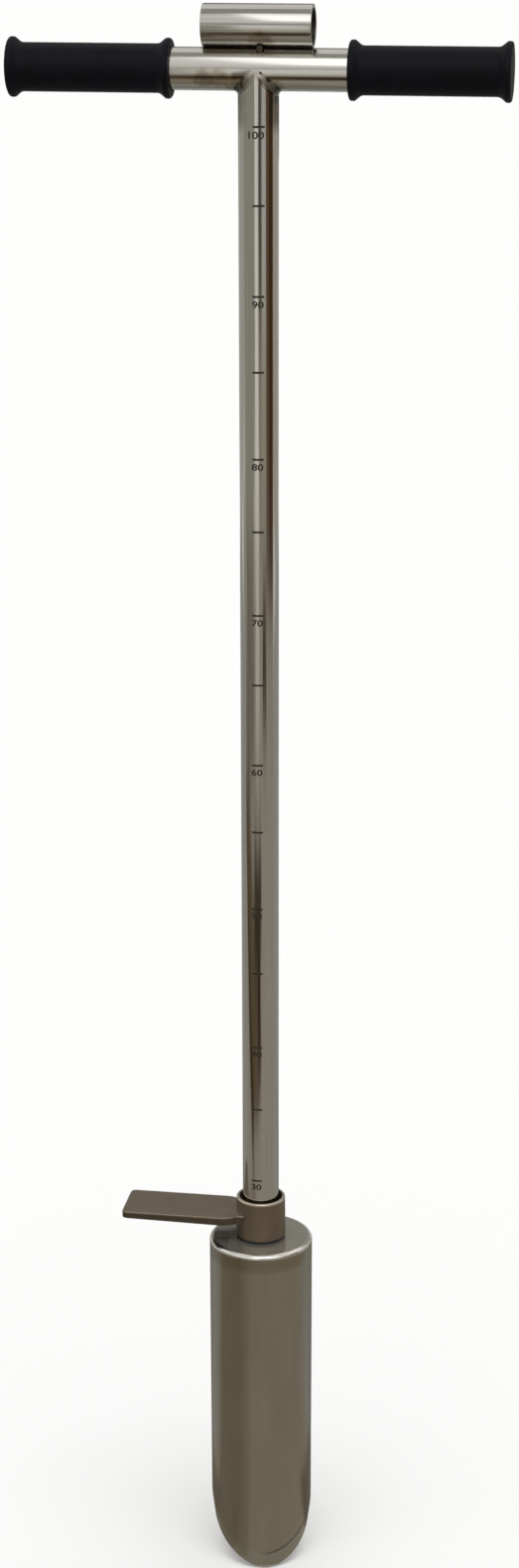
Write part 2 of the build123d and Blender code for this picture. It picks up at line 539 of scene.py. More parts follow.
@dataclass(frozen=True)
class HeatTint(Mark):
    """Straw to brown tint beside a weld.

    Attributes:
        centre: its middle.
        reach: distance at which it ends.
        core: share of the reach within which the heat is whole.
        cover: heat at which the tint begins, and at which it is whole.
        depth: how far it then covers the steel.
    """

    centre: Point
    reach: float
    core: float = 0.35
    cover: Span = (0.02, 0.5)
    depth: float = 0.55

    def mask(self, tree: Tree, place: Socket) -> Socket:
        """Heat that falls off from the centre in uneven patches.

        Args:
            tree: the material's nodes.
            place: its object coordinates.

        Returns:
            The heat.
        """
        distance = add_node(tree, "VectorMath", {0: place, 1: self.centre}, "Value", operation="DISTANCE")
        fade = {"Value": distance, "From Min": self.reach, "From Max": self.core * self.reach}
        near = add_node(tree, "MapRange", fade, interpolation_type="SMOOTHSTEP")
        patches = HEAT_PATCHES.lay(tree, place)
        return add_node(tree, "Math", {0: near, 1: patches}, operation="MULTIPLY")

    def blend(self, tree: Tree, colour: Socket, mask: Socket) -> Socket:
        """Blend in the colour that the heat gave.

        Args:
            tree: the material's nodes.
            colour: the colour of the steel.
            mask: the heat.

        Returns:
            The tinted colour.
        """
        hues = ((0.0, "#b9ad97"), (1.0, "#51473a"), (0.3, "#8f7a5b"), (0.6, "#6b5a45"))
        hue = add_node(tree, "ValToRGB", {"Fac": mask}, stops=hues)
        low, high = self.cover
        span = {"Value": mask, "From Min": low, "From Max": high, "To Max": self.depth}
        amount = add_node(tree, "MapRange", span)
        return add_node(tree, "Mix", {0: amount, 6: colour, 7: hue}, 2, data_type="RGBA")


@dataclass(frozen=True)
class Scorch(Mark):
    """Painted shade along a crevice that runs along X, in a dull dark brown.

    Attributes:
        height: height of the crevice.
        reach: how far the painted shade spreads from it.
        half: half its length.
        shade: its colour.
        metallic: how metallic it is.
        uneven: how far its edge wanders, as a share of the reach.
        edge: shares of the reach within which it is whole, and beyond which there is none.
    """

    height: float
    reach: float
    half: float
    shade: str = "#45351f"
    metallic: float = 0.1
    uneven: float = 0.4
    edge: Span = (0.75, 1.15)

    def mask(self, tree: Tree, place: Socket) -> Socket:
        """Painted shade with an uneven edge, round the nearest point of the crevice.

        Args:
            tree: the material's nodes.
            place: its object coordinates.

        Returns:
            The mask.
        """
        nearest = place
        for way, limit in ((-1, "MAXIMUM"), (1, "MINIMUM")):
            end = (way * self.half, 0.0, self.height)
            nearest = add_node(tree, "VectorMath", {0: nearest, 1: end}, operation=limit)
        distance = add_node(tree, "VectorMath", {0: place, 1: nearest}, "Value", operation="DISTANCE")
        wander = {0: HEAT_PATCHES.lay(tree, place), 1: self.uneven * self.reach, 2: distance}
        spread = add_node(tree, "Math", wander, operation="MULTIPLY_ADD")
        whole, none = (share * self.reach for share in self.edge)
        fade = {"Value": spread, "From Min": none, "From Max": whole}
        return add_node(tree, "MapRange", fade, interpolation_type="SMOOTHSTEP")


@dataclass(frozen=True)
class ScoredLine(Mark):
    """Dark line across the right side.

    Attributes:
        normal: normal of the plane that it lies in.
        offset: that plane's distance from the origin.
        half: half the line's width.
        shade: its colour.
        run_in: how far to the right it is whole.
        depth: how far it then covers the steel.
    """

    normal: Point
    offset: float
    half: float
    shade: str = "#4a4436"
    run_in: float = 0.016
    depth: float = 0.8

    def mask(self, tree: Tree, place: Socket) -> Socket:
        """The line, stronger towards the right.

        Args:
            tree: the material's nodes.
            place: its object coordinates.

        Returns:
            The mask.
        """
        level = add_node(tree, "VectorMath", {0: place, 1: self.normal}, "Value", operation="DOT_PRODUCT")
        gap = add_node(tree, "Math", {0: level, 1: self.offset}, operation="SUBTRACT")
        away = add_node(tree, "Math", {0: gap}, operation="ABSOLUTE")
        line = add_node(tree, "MapRange", {"Value": away, "From Min": self.half, "From Max": 0.0})
        across = add_node(tree, "SeparateXYZ", {0: place}, "X")
        right = add_node(tree, "MapRange", {"Value": across, "From Max": self.run_in, "To Max": self.depth})
        return add_node(tree, "Math", {0: line, 1: right}, operation="MULTIPLY")


@dataclass(frozen=True)
class Finish:
    """A surface of two tones, patched and grained, that makes its own material once.

    Attributes:
        name: the real material and how its surface was made.
        tones: its darker and its lighter colour.
        grain: its fine pattern.
        patches: its coarse pattern, if it has one.
        share: how much of the mixture of both is grain.
        contrast: values of the mixture at which the tones are whole.
        roughness: least and greatest roughness.
        relief: strength and depth of the grain's relief, if it has any.
        metallic: less than one where a dull skin scatters the light, nought for what isn't metal.
        specular: level of its gloss.
        marks: places with colours of their own, or with painted shade.
    """

    name: str
    tones: tuple[str, str]
    grain: Pattern | Rings
    patches: Pattern | None = None
    share: float = 1.0
    contrast: Span = (0.0, 1.0)
    roughness: Span = (0.5, 0.5)
    relief: Span | None = None
    metallic: float = 0.0
    specular: float = 0.5
    marks: tuple[Mark, ...] = ()

    def material(self) -> bpy.types.Material:
        """The finish's material, made on first use."""
        made = bpy.data.materials.get(self.name)
        if made is None:
            made = empty_material(self.name)
            tree = made.node_tree
            shader = add_node(tree, "BsdfPrincipled", self.paint(tree))
            add_node(tree, "OutputMaterial", {"Surface": shader})
        return made

    def paint(self, tree: Tree) -> dict[str, object]:
        """Add the nodes of the tones, marks and relief.

        Args:
            tree: the material's nodes.

        Returns:
            What goes into the shader.
        """
        place = add_node(tree, "TexCoord", out="Object")
        grain = self.grain.lay(tree, place)
        mixed = grain
        if self.patches:
            mixed = add_node(tree, "Mix", {0: self.share, 2: self.patches.lay(tree, place), 3: grain})
        low, high = self.contrast
        amount = add_node(tree, "MapRange", {"Value": mixed, "From Min": low, "From Max": high})
        dark, pale = (linear(tone) for tone in self.tones)
        colour = add_node(tree, "Mix", {0: amount, 6: dark, 7: pale}, 2, data_type="RGBA")
        sockets: dict[str, object] = {"Metallic": self.metallic, "Specular IOR Level": self.specular}
        for mark in self.marks:
            mask = mark.mask(tree, place)
            colour = mark.blend(tree, colour, mask)
            if mark.metallic is not None:
                bare = {"Value": mask, "To Min": self.metallic, "To Max": mark.metallic}
                sockets["Metallic"] = add_node(tree, "MapRange", bare)
        sockets["Base Color"] = colour
        low, high = self.roughness
        sockets["Roughness"] = low
        if low < high:
            span = {"Value": mixed, "To Min": low, "To Max": high}
            sockets["Roughness"] = add_node(tree, "MapRange", span)
        if self.relief:
            strength, depth = self.relief
            bump = {"Height": grain, "Strength": strength, "Distance": depth}
            sockets["Normal"] = add_node(tree, "Bump", bump)
        return sockets


@dataclass(frozen=True)
class TubeSteel(Finish):
    """Drawn stainless tube, polished lengthwise.

    It gives the eye a bright grey with long faint streaks, and straw to brown heat tint
    round the welds. The streaks are drawn coarse enough to show.
    """

    tones: tuple[str, str] = ("#aba8a0", "#c4c1ba")
    grain: Pattern = Pattern.streaks(Axis.X, 0.0009, 0.09)
    roughness: Span = (0.1, 0.2)
    relief: Span = (0.05, 0.0001)
    metallic: float = 1.0


@dataclass(frozen=True)
class HeadSteel(Finish):
    """Rolled stainless sheet, ground satin along the barrel.

    It gives the eye a warm grey with soft upright bands and fine lengthwise lines, duller
    than the polished tube. The lines are drawn coarse enough to show.
    """

    tones: tuple[str, str] = ("#8f8778", "#aaa498")
    grain: Pattern = Pattern.streaks(Axis.Z, 0.0012, 0.05, 0.65)
    patches: Pattern = Pattern((0.02, 0.02, 0.08))
    share: float = 0.35
    roughness: Span = (0.16, 0.3)
    relief: Span = (0.08, 0.0001)
    metallic: float = 1.0


@dataclass(frozen=True)
class WeldSteel(Finish):
    """Stainless weld metal, left as welded.

    It gives the eye a dark olive-brown bead, blotched by its oxide, with small pale ridges.
    """

    tones: tuple[str, str] = ("#453c30", "#b9b3a7")
    grain: Pattern = Pattern.lumps(0.0022, 4.0, 0.6)
    contrast: Span = (0.28, 0.72)
    roughness: Span = (0.34, 0.34)
    relief: Span = (0.25, 0.0003)
    metallic: float = 1.0


@dataclass(frozen=True)
class GripRubber(Finish):
    """Nitrile rubber, moulded matt.

    It gives the eye a blue-black with a soft grey bloom, worn in patches by hands, and a
    moulded grain that is drawn coarse enough to show.
    """

    tones: tuple[str, str] = ("#08090b", "#11121c")
    grain: Pattern = Pattern.lumps(0.0007, 1.0)
    patches: Pattern = Pattern.lumps(0.016, 3.0)
    share: float = 0.3
    contrast: Span = (0.3, 0.7)
    roughness: Span = (0.45, 0.65)
    relief: Span = (0.25, 0.0002)
    specular: float = 0.1


@dataclass(frozen=True)
class CastSteel(Finish):
    """Investment-cast steel, grit-blasted.

    It gives the eye a warm brown-grey, even and matt, with a sandy texture that is drawn
    coarse enough to show.
    """

    tones: tuple[str, str] = ("#746858", "#8d8070")
    grain: Pattern = Pattern.lumps(0.0006)
    patches: Pattern = Pattern.lumps(0.012, 3.0)
    share: float = 0.4
    roughness: Span = (0.42, 0.6)
    relief: Span = (0.35, 0.0002)
    metallic: float = 1.0


@dataclass(frozen=True)
class TurnedNylon(Finish):
    """Black nylon, turned on a lathe.

    It gives the eye a dull black with paler rings, drawn coarse enough to show.
    """

    tones: tuple[str, str] = ("#131312", "#262624")
    grain: Rings = Rings(0.0031416)
    roughness: Span = (0.4, 0.55)


@dataclass(frozen=True)
class EtchedBlack(Finish):
    """Stainless steel, etched and blackened.

    It gives the eye a soft black-brown line that thins where the etch was weak.
    """

    tones: tuple[str, str] = ("#1d1913", "#4d463b")
    grain: Pattern = Pattern.lumps(0.0012)
    roughness: Span = (0.45, 0.7)
    specular: float = 0.2


def install(
    piece: Workpiece, finish: Finish, slot: Slot, body: Body, *nodes: str, smooth: float = 30.0
) -> None:
    """Smooth and dress a finished piece, fix it to its body and report it.

    Args:
        piece: the finished piece.
        finish: its finish.
        slot: the record's slot that the finish belongs to; not used.
        body: the body it rides on.
        nodes: CAD nodes that it stands for.
        smooth: degrees over which an edge stays sharp.
    """
    piece.smooth(smooth)
    piece.obj.data.materials.clear()
    piece.obj.data.materials.append(finish.material())
    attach(piece.obj, body.value)
    if nodes:
        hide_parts(*nodes)
    log.info("%s: %d faces on %s", piece.obj.name, len(piece.obj.data.polygons), body.value)


def refinish(
    piece: Workpiece, finishes: Sequence[Finish], choose: Callable[[bpy.types.MeshPolygon], int]
) -> None:
    """Give some faces of an installed piece finishes of their own.

    Args:
        piece: the piece.
        finishes: the further finishes, numbered from one.
        choose: the number of a face's finish, nought for the piece's own.
    """
    for finish in finishes:
        piece.obj.data.materials.append(finish.material())
    for face in piece.obj.data.polygons:
        face.material_index = choose(face)


@dataclass
class Handle:
    """T handle: bar, strike tube, their tacks and the two grips."""

    height: float = BAR_HEIGHT
    tube_radius: float = TUBE_RADIUS
    tube_bore: float = TUBE_BORE
    bar_length: float = 0.3
    strike_length: float = 0.067
    root_gap: float = -0.00005
    tube_edge: float = 0.0004
    grip_lengths: Span = (0.1, 0.0975)
    grip_wall: float = 0.00175
    grip_end_wall: float = 0.003
    grip_fit: float = 0.00005
    grip_mouth: float = 0.0003
    flange_height: float = 0.00325
    flange_lip: float = 0.0032
    flange_flare: float = 0.004
    rim_fillet: float = 0.0015
    lip_fillet: float = 0.0014
    root_fillet: float = 0.0045
    tack_radius: float = 0.0021
    tack_reach: float = 0.0057
    tack_shift: float = 0.0015
    tack_lump: float = 0.0016
    tack_sag: float = 0.0005
    # The bore's near-black tones are painted shade inside the tube; its higher roughness is its own.
    bore_finish: TubeSteel = TubeSteel(
        "drawn stainless tube, bore as drawn", tones=("#322e28", "#4a463f"), roughness=(0.41, 0.51)
    )
    tack_finish: WeldSteel = WeldSteel("stainless weld metal burnt", tones=("#231f17", "#777163"))
    grip_finish: GripRubber = GripRubber("nitrile rubber moulded matt")

    @property
    def strike_height(self) -> float:
        """Height of the strike tube's axis."""
        return self.height + 2 * self.tube_radius + self.root_gap

    @property
    def bar_finish(self) -> TubeSteel:
        """Polished bar, darker along a short line and heat-tinted at the T joint, with painted shade along
        the crevice under the strike tube.
        """
        # Overlapping dark patches: a short darker line on the bar's front, left of the T joint.
        dark_streak = [
            Stain((0.001 * step, -0.0124, self.height - 0.0012 + 0.00013 * step), 0.003, "#77716a")
            for step in range(-13, -1, 2)
        ]
        tints = [
            HeatTint((-0.013, -0.009, self.height - 0.009), 0.009),
            HeatTint((0.012, -0.009, self.height - 0.009), 0.007),
            HeatTint((-0.032, -0.0115, self.height - 0.005), 0.009),
            HeatTint((-0.022, -0.0115, self.height - 0.005), 0.009),
        ]
        # Painted shade along the crevice under the strike tube, dull dark brown.
        crevice_shade = Scorch(self.height + self.tube_radius, 0.0058, self.strike_length / 2 - 0.002)
        return TubeSteel("drawn stainless tube polished, handle bar", marks=(*dark_streak, *tints, crevice_shade))

    @property
    def strike_finish(self) -> TubeSteel:
        """Scuffed strike tube, tinted at its tack, with painted shade along the crevice above the bar."""
        tint = HeatTint((0.003, -0.009, self.strike_height - 0.0085), 0.011)
        # Painted shade along the crevice above the bar, dull dark brown.
        crevice_shade = Scorch(self.strike_height - self.tube_radius, 0.005, self.strike_length / 2)
        return TubeSteel(
            "drawn stainless tube scuffed, strike tube",
            tones=("#7d7971", "#d9d6cf"),
            grain=Pattern.streaks(Axis.X, 0.0022, 0.25),
            roughness=(0.11, 0.21),
            marks=(tint, crevice_shade),
        )

    def tube(self, name: str, length: float, height: float) -> Workpiece:
        """Level tube with eased ends.

        Args:
            name: its name.
            length: its length.
            height: height of its axis.

        Returns:
            The tube, open for editing.
        """
        profile = tube_profile(
            (-length / 2, length / 2), (self.tube_bore, self.tube_radius), self.tube_edge
        )
        return turned(name, profile, Spindle(Axis.X, height))

    def build_tubes(self) -> None:
        """Cross bar, open at its ends under the grips, and the short tube on top of it."""
        bar = self.tube("cross_bar", self.bar_length, self.height)
        install(bar, self.bar_finish, Slot.TUBE, Body.PROBE, "handle_bar")
        strike = self.tube("strike_tube_dressed", self.strike_length, self.strike_height)
        install(strike, self.strike_finish, Slot.TUBE, Body.PROBE, "strike_tube")
        limit = (self.tube_radius + self.tube_bore) / 2

        def in_bore(face: bpy.types.MeshPolygon) -> int:
            """One for a face of the bore."""
            inside = math.hypot(face.center.y, face.center.z - self.strike_height) < limit
            return int(inside and abs(face.normal.x) < 0.5)

        refinish(strike, [self.bore_finish], in_bore)

    def build_tacks(self) -> None:
        """Weld tacks in the crevice between strike tube and bar."""
        crevice = (self.height + self.strike_height) / 2
        piece = Workpiece.add(
            "tack_welds",
            bpy.ops.mesh.primitive_uv_sphere_add,
            segments=48,
            ring_count=32,
            radius=self.tack_radius,
            location=(self.tack_shift, -self.tack_reach, crevice),
        )
        piece.repeat((0.0, 2 * self.tack_reach, 0.0))

        def melt(place: Vector) -> Vector:
            """Let the blob sag and ripple.

            Args:
                place: a point of the ball.

            Returns:
                The point on the tack.
            """
            middle = Vector((self.tack_shift, math.copysign(self.tack_reach, place.y), crevice))
            swell = self.tack_sag / self.tack_radius * noise.noise(place / self.tack_lump)
            return middle + (place - middle) * (1 + swell)

        piece.reshape(melt)
        install(piece, self.tack_finish, Slot.WELD, Body.PROBE, "strike_tube_tacks", smooth=60)

    def grip_profile(self, side: Side) -> list[Vector]:
        """Profile of one grip.

        Args:
            side: the end of the handle that it is on.

        Returns:
            The profile's points.
        """
        outer = self.bar_length / 2 + self.grip_end_wall
        inner = outer - self.grip_lengths[side is Side.RIGHT]
        bore = self.tube_radius + self.grip_fit
        skin = self.tube_radius + self.grip_wall
        rim = skin + self.flange_height
        slope = self.flange_lip + self.flange_flare
        corners = [
            (inner, bore, self.grip_mouth),
            (inner, rim, self.rim_fillet),
            (inner + self.flange_lip, rim, self.lip_fillet),
            (inner + slope, skin, self.root_fillet),
            (outer - slope, skin, self.root_fillet),
            (outer - self.flange_lip, rim, self.lip_fillet),
            (outer, rim, self.rim_fillet),
            (outer, 0.0, 0.0),
            (outer - self.grip_end_wall, 0.0, 0.0),
            (outer - self.grip_end_wall, bore, 0.0),
        ]
        return rounded([(side.value * along, radius, fillet) for along, radius, fillet in corners])

    def build_grips(self) -> None:
        """Rubber grips with a flange at each end."""
        for side in Side:
            end = side.name.lower()
            piece = turned(f"rubber_grip_{end}", self.grip_profile(side), Spindle(Axis.X, self.height))
            install(piece, self.grip_finish, Slot.GRIP, Body.PROBE, f"grip_{end}", smooth=40)

    def build(self) -> None:
        """Build the handle's pieces."""
        self.build_tubes()
        self.build_tacks()
        self.build_grips()


@dataclass
class Shaft:
    """Graduated shaft with the saddle weld at its top and the plug and bead at its foot."""

    foot: float = 0.2425
    bar_height: float = BAR_HEIGHT
    radius: float = TUBE_RADIUS
    bore: float = TUBE_BORE
    cope_gap: float = 0.0002
    weld_ring: float = 0.0024
    weld_reach: float = 0.0034
    weld_shoulder: Span = (0.7, 0.4)
    weld_wander: float = 0.1
    weld_lump: float = 0.008
    weld_skin: float = 0.00003
    weld_toe: float = 0.1
    weld_sink: float = 0.0009
    apex_round: float = 0.02
    cap_underside: float = 0.2505
    bead_inset: float = 0.00144
    bead_radius: float = 0.00168
    bead_ripples: int = 52
    bead_ripple: float = 0.06
    bead_wander: float = 0.12
    bead_lump: float = 0.003
    plug_thickness: float = 0.004
    plug_radius: float = 0.0104
    plug_edge: float = 0.0004
    scale_turn: float = math.radians(6.0)
    scale_lean: float = 0.0043
    scale_pivot: float = 0.82
    pitch: float = 0.1
    lowest_mark: float = 0.3
    highest_mark: float = 1.0
    half_mark_drop: float = 0.046
    mark_size: Span = (0.0074, 0.0013)
    ink_depth: float = 0.00012
    ink_proud: float = 0.00003
    number_size: float = 0.0058
    number_weight: float = 0.000125
    number_stretch: float = 1.3
    number_drop: float = 0.0068
    number_edge: float = 0.0034
    bead_finish: WeldSteel = WeldSteel("stainless weld metal as welded")
    ink_finish: EtchedBlack = EtchedBlack("stainless steel etched black")

    @property
    def finish(self) -> TubeSteel:
        """Polished shaft, with painted shade on its flanks below the T joint."""
        # Painted shade on both flanks just under the bar, darker nearer to it.
        round_marks = tuple(
            Stain((side * 0.0122, -0.003, self.bar_height - drop), 0.0115, shade)
            for side in (-1, 1)
            for drop, shade in ((0.0165, "#453f33"), (0.0265, "#6a6558"))
        )
        grain = Pattern.streaks(Axis.Z, 0.0009, 0.09)
        name = "drawn stainless tube polished, shaft"
        return TubeSteel(name, grain=grain, roughness=(0.08, 0.18), marks=round_marks)

    @property
    def saddle_finish(self) -> WeldSteel:
        """Brushed weld, with painted shade at its sides and a black dot painted for a pinhole's shade."""
        # Painted shade at both lower corners of the T joint.
        corner_shade = [
            Stain((side * 0.0128, -0.0075, self.bar_height - 0.0105), 0.0125, "#2c2820", 0.0)
            for side in (-1, 1)
        ]
        # A black dot: painted shade of a pinhole that the weld has no hole for.
        pinhole_shade = Stain((0.0036, -0.0125, self.bar_height - 0.0007), 0.00144, "#0a0908", 2 / 3)
        return WeldSteel(
            "stainless weld metal brushed",
            tones=("#9c968b", "#bab6ae"),
            grain=Pattern.lumps(0.006, 4.0, 0.6),
            roughness=(0.15, 0.15),
            relief=(0.03, 0.0003),
            marks=(*corner_shade, pinhole_shade),
        )

    @property
    def numbered(self) -> list[float]:
        """Heights of the numbered marks."""
        count = round((self.highest_mark - self.lowest_mark) / self.pitch) + 1
        return [self.lowest_mark + step * self.pitch for step in range(count)]

    def build_tube(self) -> None:
        """Shaft tube, coped to the bar."""
        profile = tube_profile((self.foot, self.bar_height), (self.bore, self.radius), 0.0)
        piece = turned("graduated_shaft", profile, Spindle(Axis.Z), 160)
        piece.slice((0.0, 0.0, self.bar_height - 2 * self.radius), UP)
        cope = Workpiece.add(
            "cope",
            bpy.ops.mesh.primitive_cylinder_add,
            vertices=160,
            radius=self.radius + self.cope_gap,
            depth=6 * self.radius,
            location=(0.0, 0.0, self.bar_height),
            rotation=(0.0, math.pi / 2, 0.0),
        )
        piece.meet(cope, Operation.CUT)
        install(piece, self.finish, Slot.TUBE, Body.PROBE, "shaft_tube")

    def saddle(self, place: Vector) -> Vector:
        """Carry a point of a flat ring on to the fillet where shaft and bar meet.

        The outer half of the ring's section becomes a hollow curve that leaves the shaft and
        runs out on the bar; the inner half is sunk in both.

        Args:
            place: a point of a ring round the shaft, at the height of the origin.

        Returns:
            The point on the weld.
        """
        angle = math.atan2(place.y, place.x)
        turn = math.atan2(place.z, math.hypot(place.x, place.y) - self.radius)
        side, front = math.cos(angle), math.sin(angle)
        steep = math.sqrt(side * side + self.apex_round)
        spot = Vector((self.radius * side, self.radius * front, self.bar_height - self.radius * steep))
        off_shaft = Vector((side, front, 0.0))
        off_bar = Vector((0.0, front, -abs(side))).normalized()
        along = Vector((-front, side, side * front / steep)).normalized()
        down = along.cross(off_shaft).normalized()
        down = down if down.z < 0 else -down
        away = along.cross(off_bar).normalized()
        away = away if away.dot(off_shaft) - away.dot(down) > 0 else -away
        least, swell = self.weld_shoulder
        wander = 1 + self.weld_wander * noise.noise(spot / self.weld_lump)
        leg = self.weld_reach * (least + swell * (2 * side * front) ** 2) * wander
        low = spot + down * leg
        low = Vector((*(low.xy.normalized() * self.radius), low.z))
        high = spot + away * leg
        lift = Vector((high.y, high.z - self.bar_height)).normalized() * self.radius
        high = Vector((high.x, lift.x, lift.y + self.bar_height))
        quarter = math.pi / 2 + 0.01  # with room for rounding at the ring's top and bottom
        if abs(turn) > quarter:
            share = 0.5 + math.copysign(math.pi - abs(turn), turn) / math.pi
            return low.lerp(high, share) - (off_shaft + off_bar).normalized() * self.weld_sink
        share = min(1.0, max(0.0, 0.5 + turn / math.pi))
        point = low * (1 - share) ** 2 + spot * 2 * share * (1 - share) + high * share**2
        clear = self.radius + self.weld_skin * min(1.0, share / self.weld_toe, (1 - share) / self.weld_toe)
        point.xy *= max(1.0, clear / point.xy.length)
        lift = Vector((point.y, point.z - self.bar_height))
        lift *= max(1.0, clear / lift.length)
        return Vector((point.x, lift.x, lift.y + self.bar_height))

    def build_saddle_weld(self) -> None:
        """Saddle fillet between shaft and bar."""
        piece = Workpiece.add(
            "saddle_weld",
            bpy.ops.mesh.primitive_torus_add,
            major_segments=360,
            minor_segments=24,
            major_radius=self.radius,
            minor_radius=self.weld_ring,
        )
        piece.reshape(self.saddle)
        piece.close_up()
        install(piece, self.saddle_finish, Slot.WELD, Body.PROBE, "handle_weld", smooth=60)

    def build_bead(self) -> None:
        """Rippled bead under the cap."""
        ring = self.radius + self.bead_inset
        middle = self.cap_underside - self.bead_inset
        piece = Workpiece.add(
            "shaft_foot_weld",
            bpy.ops.mesh.primitive_torus_add,
            major_segments=240,
            minor_segments=16,
            major_radius=ring,
            minor_radius=self.bead_radius,
            location=(0.0, 0.0, middle),
        )

        def ripple(place: Vector) -> Vector:
            """Stack the bead's ripples.

            Args:
                place: a point of the ring.

            Returns:
                The point on the bead.
            """
            angle = math.atan2(place.y, place.x)
            axis = Vector((ring * math.cos(angle), ring * math.sin(angle), middle))
            swell = 1 + self.bead_ripple * math.cos(self.bead_ripples * angle)
            swell += self.bead_wander * noise.noise(place / self.bead_lump)
            return axis + (place - axis) * swell

        piece.reshape(ripple)
        install(piece, self.bead_finish, Slot.WELD, Body.PROBE, "shaft_weld", smooth=60)

    def build_plug(self) -> None:
        """Plug that closes the shaft's foot."""
        top = self.foot + self.plug_thickness
        corners = [
            (self.foot, 0.0, 0.0),
            (self.foot, self.plug_radius, self.plug_edge),
            (top, self.plug_radius, self.plug_edge),
            (top, 0.0, 0.0),
        ]
        piece = turned("shaft_end_plug", rounded(corners), Spindle(Axis.Z))
        install(piece, self.finish, Slot.TUBE, Body.PROBE, "shaft_plug")

    def wrap(self, place: Vector) -> Vector:
        """Wrap a point of a flat drawing round the front of the shaft.

        Args:
            place: x across the drawing, z up it and y its depth.

        Returns:
            The point on the shaft.
        """
        drift = self.scale_lean * (place.z - self.scale_pivot)
        angle = (place.x + drift) / self.radius + self.scale_turn
        radius = self.radius + self.ink_proud - place.y
        return Vector((radius * math.sin(angle), -radius * math.cos(angle), place.z))

    def ink(self, piece: Workpiece) -> None:
        """Give a flat drawing its depth, wrap it on the shaft and install it.

        Args:
            piece: the drawing, which faces the front.
        """
        piece.edit()
        piece.extrude((0.0, self.ink_depth, 0.0))
        piece.close_up()
        piece.reshape(self.wrap)
        piece.close_up()
        install(piece, self.ink_finish, Slot.TUBE, Body.PROBE)

    def build_marks(self) -> None:
        """Numbered and plain marks of the depth scale."""
        heights = self.numbered + [mark - self.half_mark_drop for mark in self.numbered[1:]]
        length, width = self.mark_size
        piece = Workpiece.add(
            "depth_marks",
            bpy.ops.mesh.primitive_grid_add,
            x_subdivisions=14,
            y_subdivisions=1,
            size=1.0,
            location=(0.0, 0.0, heights[0]),
            rotation=FACING_FRONT,
        )
        piece.scale((length, 1.0, width), (0.0, 0.0, heights[0]))
        for low, high in zip(heights, heights[1:]):
            piece.repeat((0.0, 0.0, high - low))
        self.ink(piece)

    def build_numbers(self) -> None:
        """Depths in centimetres, flush right under their marks."""
        drawings = []
        for height in self.numbered:
            clear_bench()
            spot = (self.number_edge, 0.0, height - self.number_drop)
            bpy.ops.object.text_add(location=spot, rotation=FACING_FRONT)
            label = bpy.context.object
            label.data.body = str(round(100 * height))
            label.data.size = self.number_size
            label.data.offset = self.number_weight
            label.data.align_x = "RIGHT"
            label.scale.x = self.number_stretch
            bpy.ops.object.convert(target="MESH")
            bpy.ops.object.transform_apply(location=True, rotation=True, scale=True)
            drawings.append(bpy.context.object)
        for drawing in drawings:
            drawing.select_set(True)
        bpy.ops.object.join()
        numbers = Workpiece("depth_numbers")
        bpy.ops.mesh.subdivide(number_cuts=3)
        self.ink(numbers)

    def build(self) -> None:
        """Build the shaft's pieces."""
        self.build_tube()
        self.build_saddle_weld()
        self.build_bead()
        self.build_plug()
        self.build_marks()
        self.build_numbers()


